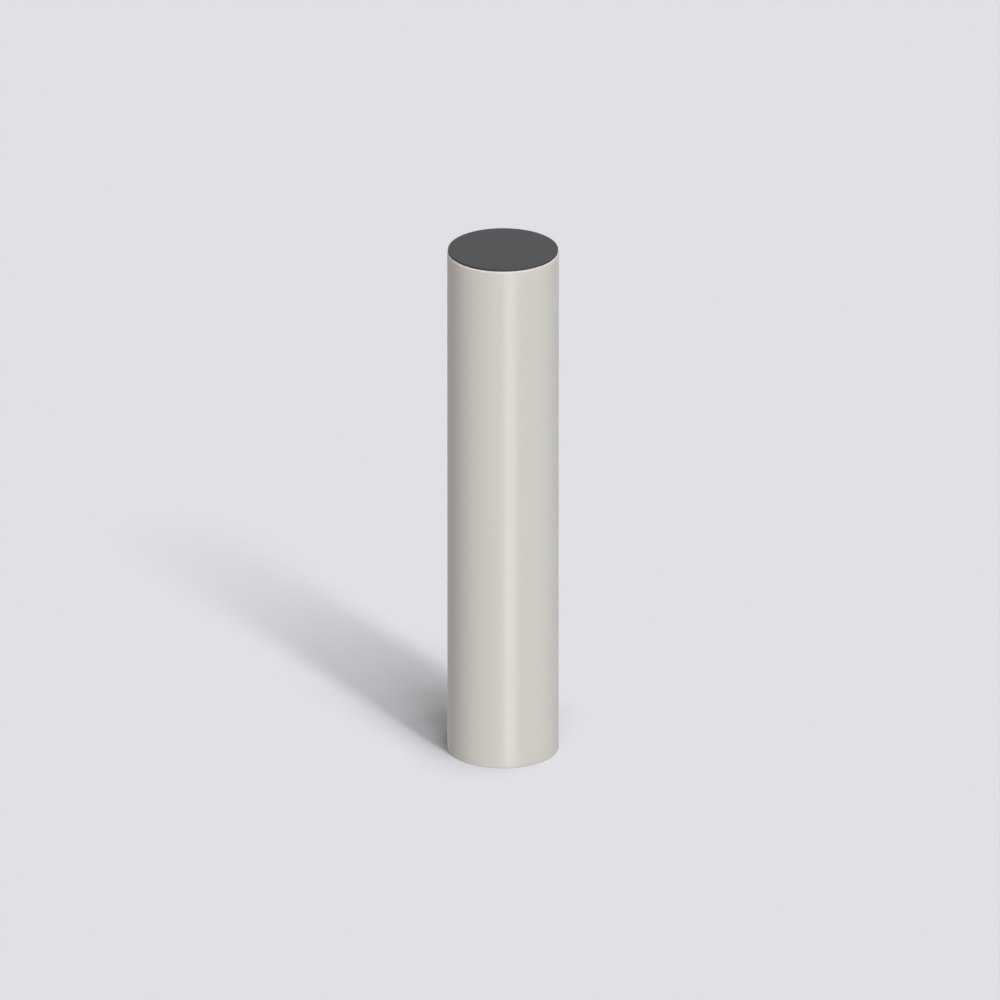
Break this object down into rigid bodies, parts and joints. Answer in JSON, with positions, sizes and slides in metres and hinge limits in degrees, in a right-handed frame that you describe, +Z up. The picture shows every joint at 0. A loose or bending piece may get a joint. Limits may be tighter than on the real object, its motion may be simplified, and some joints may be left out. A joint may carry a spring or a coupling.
{
  "type": "pvc sewer pipe",
  "caption": "Straight length of plain-ended round plastic sewer pipe, standing on its open sawn end, with a thin flat push-in cap closing the upper end.",
  "frame": {"origin": "centre of the foot, where the pipe's open sawn end meets the floor", "axes": "+Z up along the pipe's axis, towards the capped end; X and Y are free, because the part is turned about Z"},
  "size_m": [0.11, 0.11, 0.532],
  "materials": {
    "pipe_pvc": "satin",
    "cap_plastic": "matte"
  },
  "bodies": {
    "root": {"pipe": "pipe_pvc", "end_cap": "cap_plastic"}
  },
  "joints": []
}
